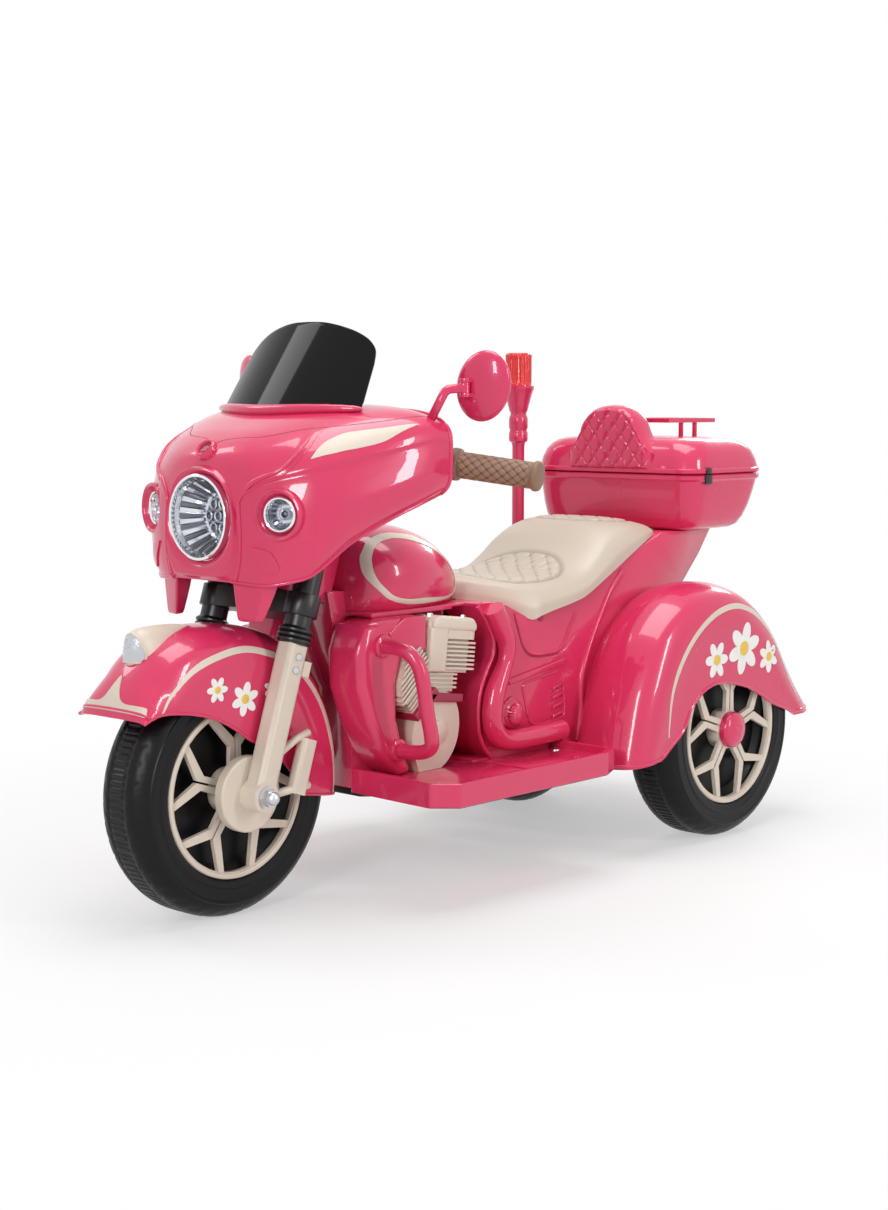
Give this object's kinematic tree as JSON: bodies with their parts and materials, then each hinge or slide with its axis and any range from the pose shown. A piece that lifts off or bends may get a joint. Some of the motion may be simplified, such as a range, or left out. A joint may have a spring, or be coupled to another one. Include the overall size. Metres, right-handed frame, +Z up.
{
  "type": "battery ride-on trike",
  "caption": "Child's battery trike with touring fairing, windscreen, forked front wheel, fendered rear wheels, moulded seat, footboards, lidded rear trunk and beacon pole.",
  "frame": {"origin": "on the floor, under the middle of the trike's length and width", "axes": "+Z up, +Y towards the tail, so the trike faces -Y, and +X towards the rider's left side"},
  "size_m": [0.5568, 1.1256, 0.699],
  "materials": {
    "pink_plastic": "glossy injection-moulded pink",
    "beige_plastic": "satin champagne beige",
    "seat_plastic": "fine-grained beige, moulded quilting",
    "black_plastic": "fine-textured black",
    "tyre_plastic": "blow-moulded black, satin",
    "smoked_screen": "glossy smoked black",
    "clear_lens": "clear moulded lens",
    "red_lens": "translucent red, ribbed",
    "reflector": "vacuum-metallised reflector",
    "tan_grip": "carved-look brown tan",
    "zinc_steel": "zinc-plated",
    "gear_nylon": "natural nylon",
    "battery_case": "black case"
  },
  "bodies": {
    "body": {"chassis_tray": "black_plastic", "body_shell_left": "pink_plastic", "body_shell_right": "pink_plastic", "tank_cover": "pink_plastic", "front_cowls": "pink_plastic", "crash_bars": "pink_plastic", "engine_castings": "beige_plastic", "exhaust_pipes": "pink_plastic", "footboard_left": "pink_plastic", "footboard_right": "pink_plastic", "seat": "seat_plastic", "rear_fender_left": "pink_plastic", "rear_fender_right": "pink_plastic", "trunk_box": "pink_plastic", "trunk_hinge_pin": "zinc_steel", "beacon_pole": "pink_plastic", "beacon_lens": "red_lens", "battery": "battery_case", "control_box": "black_plastic", "charge_socket": "black_plastic", "rear_axle": "zinc_steel", "rear_axle_nuts": "zinc_steel", "gearbox_housing": "black_plastic", "motor": "zinc_steel", "head_tube": "black_plastic"},
    "steering": {"steering_stem": "black_plastic", "fork_tubes": "black_plastic", "fork_legs": "beige_plastic", "brake_calipers": "beige_plastic", "front_axle": "zinc_steel", "front_axle_nuts": "zinc_steel", "front_fender": "pink_plastic", "fender_lamp": "beige_plastic", "fairing": "pink_plastic", "fairing_bulkhead": "black_plastic", "windscreen": "smoked_screen", "headlamp": "reflector", "side_lamps": "reflector", "lamp_lenses": "clear_lens", "handlebar": "black_plastic", "grips": "tan_grip", "dash_panel": "black_plastic", "mirror_stems": "pink_plastic"},
    "front_wheel": {"front_tyre": "tyre_plastic", "front_rims": "beige_plastic"},
    "rear_left_wheel": {"rear_left_tyre": "tyre_plastic", "rear_left_rim": "beige_plastic", "rear_left_hubcap": "pink_plastic"},
    "rear_right_wheel": {"rear_right_tyre": "tyre_plastic", "rear_right_rim": "beige_plastic", "rear_right_hubcap": "pink_plastic", "drive_gear": "gear_nylon"},
    "pinion": {"motor_pinion": "gear_nylon"},
    "left_mirror": {"mirror_left": "pink_plastic"},
    "right_mirror": {"mirror_right": "pink_plastic"},
    "lid": {"trunk_lid": "pink_plastic", "luggage_rail": "pink_plastic"},
    "button": {"power_button": "red_lens"},
    "switch": {"direction_switch": "black_plastic"},
    "pedal": {"accelerator_pedal": "black_plastic"}
  },
  "joints": [
    {"name": "steering", "type": "hinge", "parent": "body", "child": "steering", "pos_m": [0, -0.37472, 0.14011], "axis": [0, 0.309, 0.9511], "range_deg": [-25, 25]},
    {"name": "front_wheel_spin", "type": "hinge", "parent": "steering", "child": "front_wheel", "pos_m": [0, -0.40515, 0.15], "axis": [1, 0, 0], "continuous": true},
    {"name": "rear_left_wheel_spin", "type": "hinge", "parent": "body", "child": "rear_left_wheel", "pos_m": [0.175, 0.35085, 0.15], "axis": [1, 0, 0], "continuous": true},
    {"name": "rear_right_wheel_spin", "type": "hinge", "parent": "body", "child": "rear_right_wheel", "pos_m": [-0.175, 0.35085, 0.15], "axis": [1, 0, 0], "continuous": true},
    {"name": "pinion_spin", "type": "hinge", "parent": "body", "child": "pinion", "pos_m": [-0.12, 0.30585, 0.15], "axis": [1, 0, 0], "continuous": true},
    {"name": "lid_hinge", "type": "hinge", "parent": "body", "child": "lid", "pos_m": [0, 0.53445, 0.5], "axis": [-1, 0, 0], "range_deg": [0, 80]},
    {"name": "left_mirror_swivel", "type": "hinge", "parent": "steering", "child": "left_mirror", "pos_m": [0.19, -0.17915, 0.619], "axis": [0, 0, 1], "range_deg": [-20, 20]},
    {"name": "right_mirror_swivel", "type": "hinge", "parent": "steering", "child": "right_mirror", "pos_m": [-0.19, -0.17915, 0.619], "axis": [0, 0, 1], "range_deg": [-20, 20]},
    {"name": "power_button_press", "type": "slide", "parent": "steering", "child": "button", "axis": [0, -0.866, -0.5], "range_m": [0, 0.002], "stiffness_N_per_m": 300, "springref_m": -0.002},
    {"name": "direction_switch_rock", "type": "hinge", "parent": "steering", "child": "switch", "pos_m": [-0.052, -0.24115, 0.56878], "axis": [1, 0, 0], "range_deg": [-8, 8]},
    {"name": "pedal_press", "type": "hinge", "parent": "body", "child": "pedal", "pos_m": [-0.158, -0.07715, 0.155], "axis": [1, 0, 0], "range_deg": [0, 8], "stiffness_Nm_per_rad": 0.6, "springref_deg": -6.88}
  ],
  "couplings": [
    {"joint": "pinion_spin", "follows": "rear_right_wheel_spin", "ratio": -4}
  ]
}
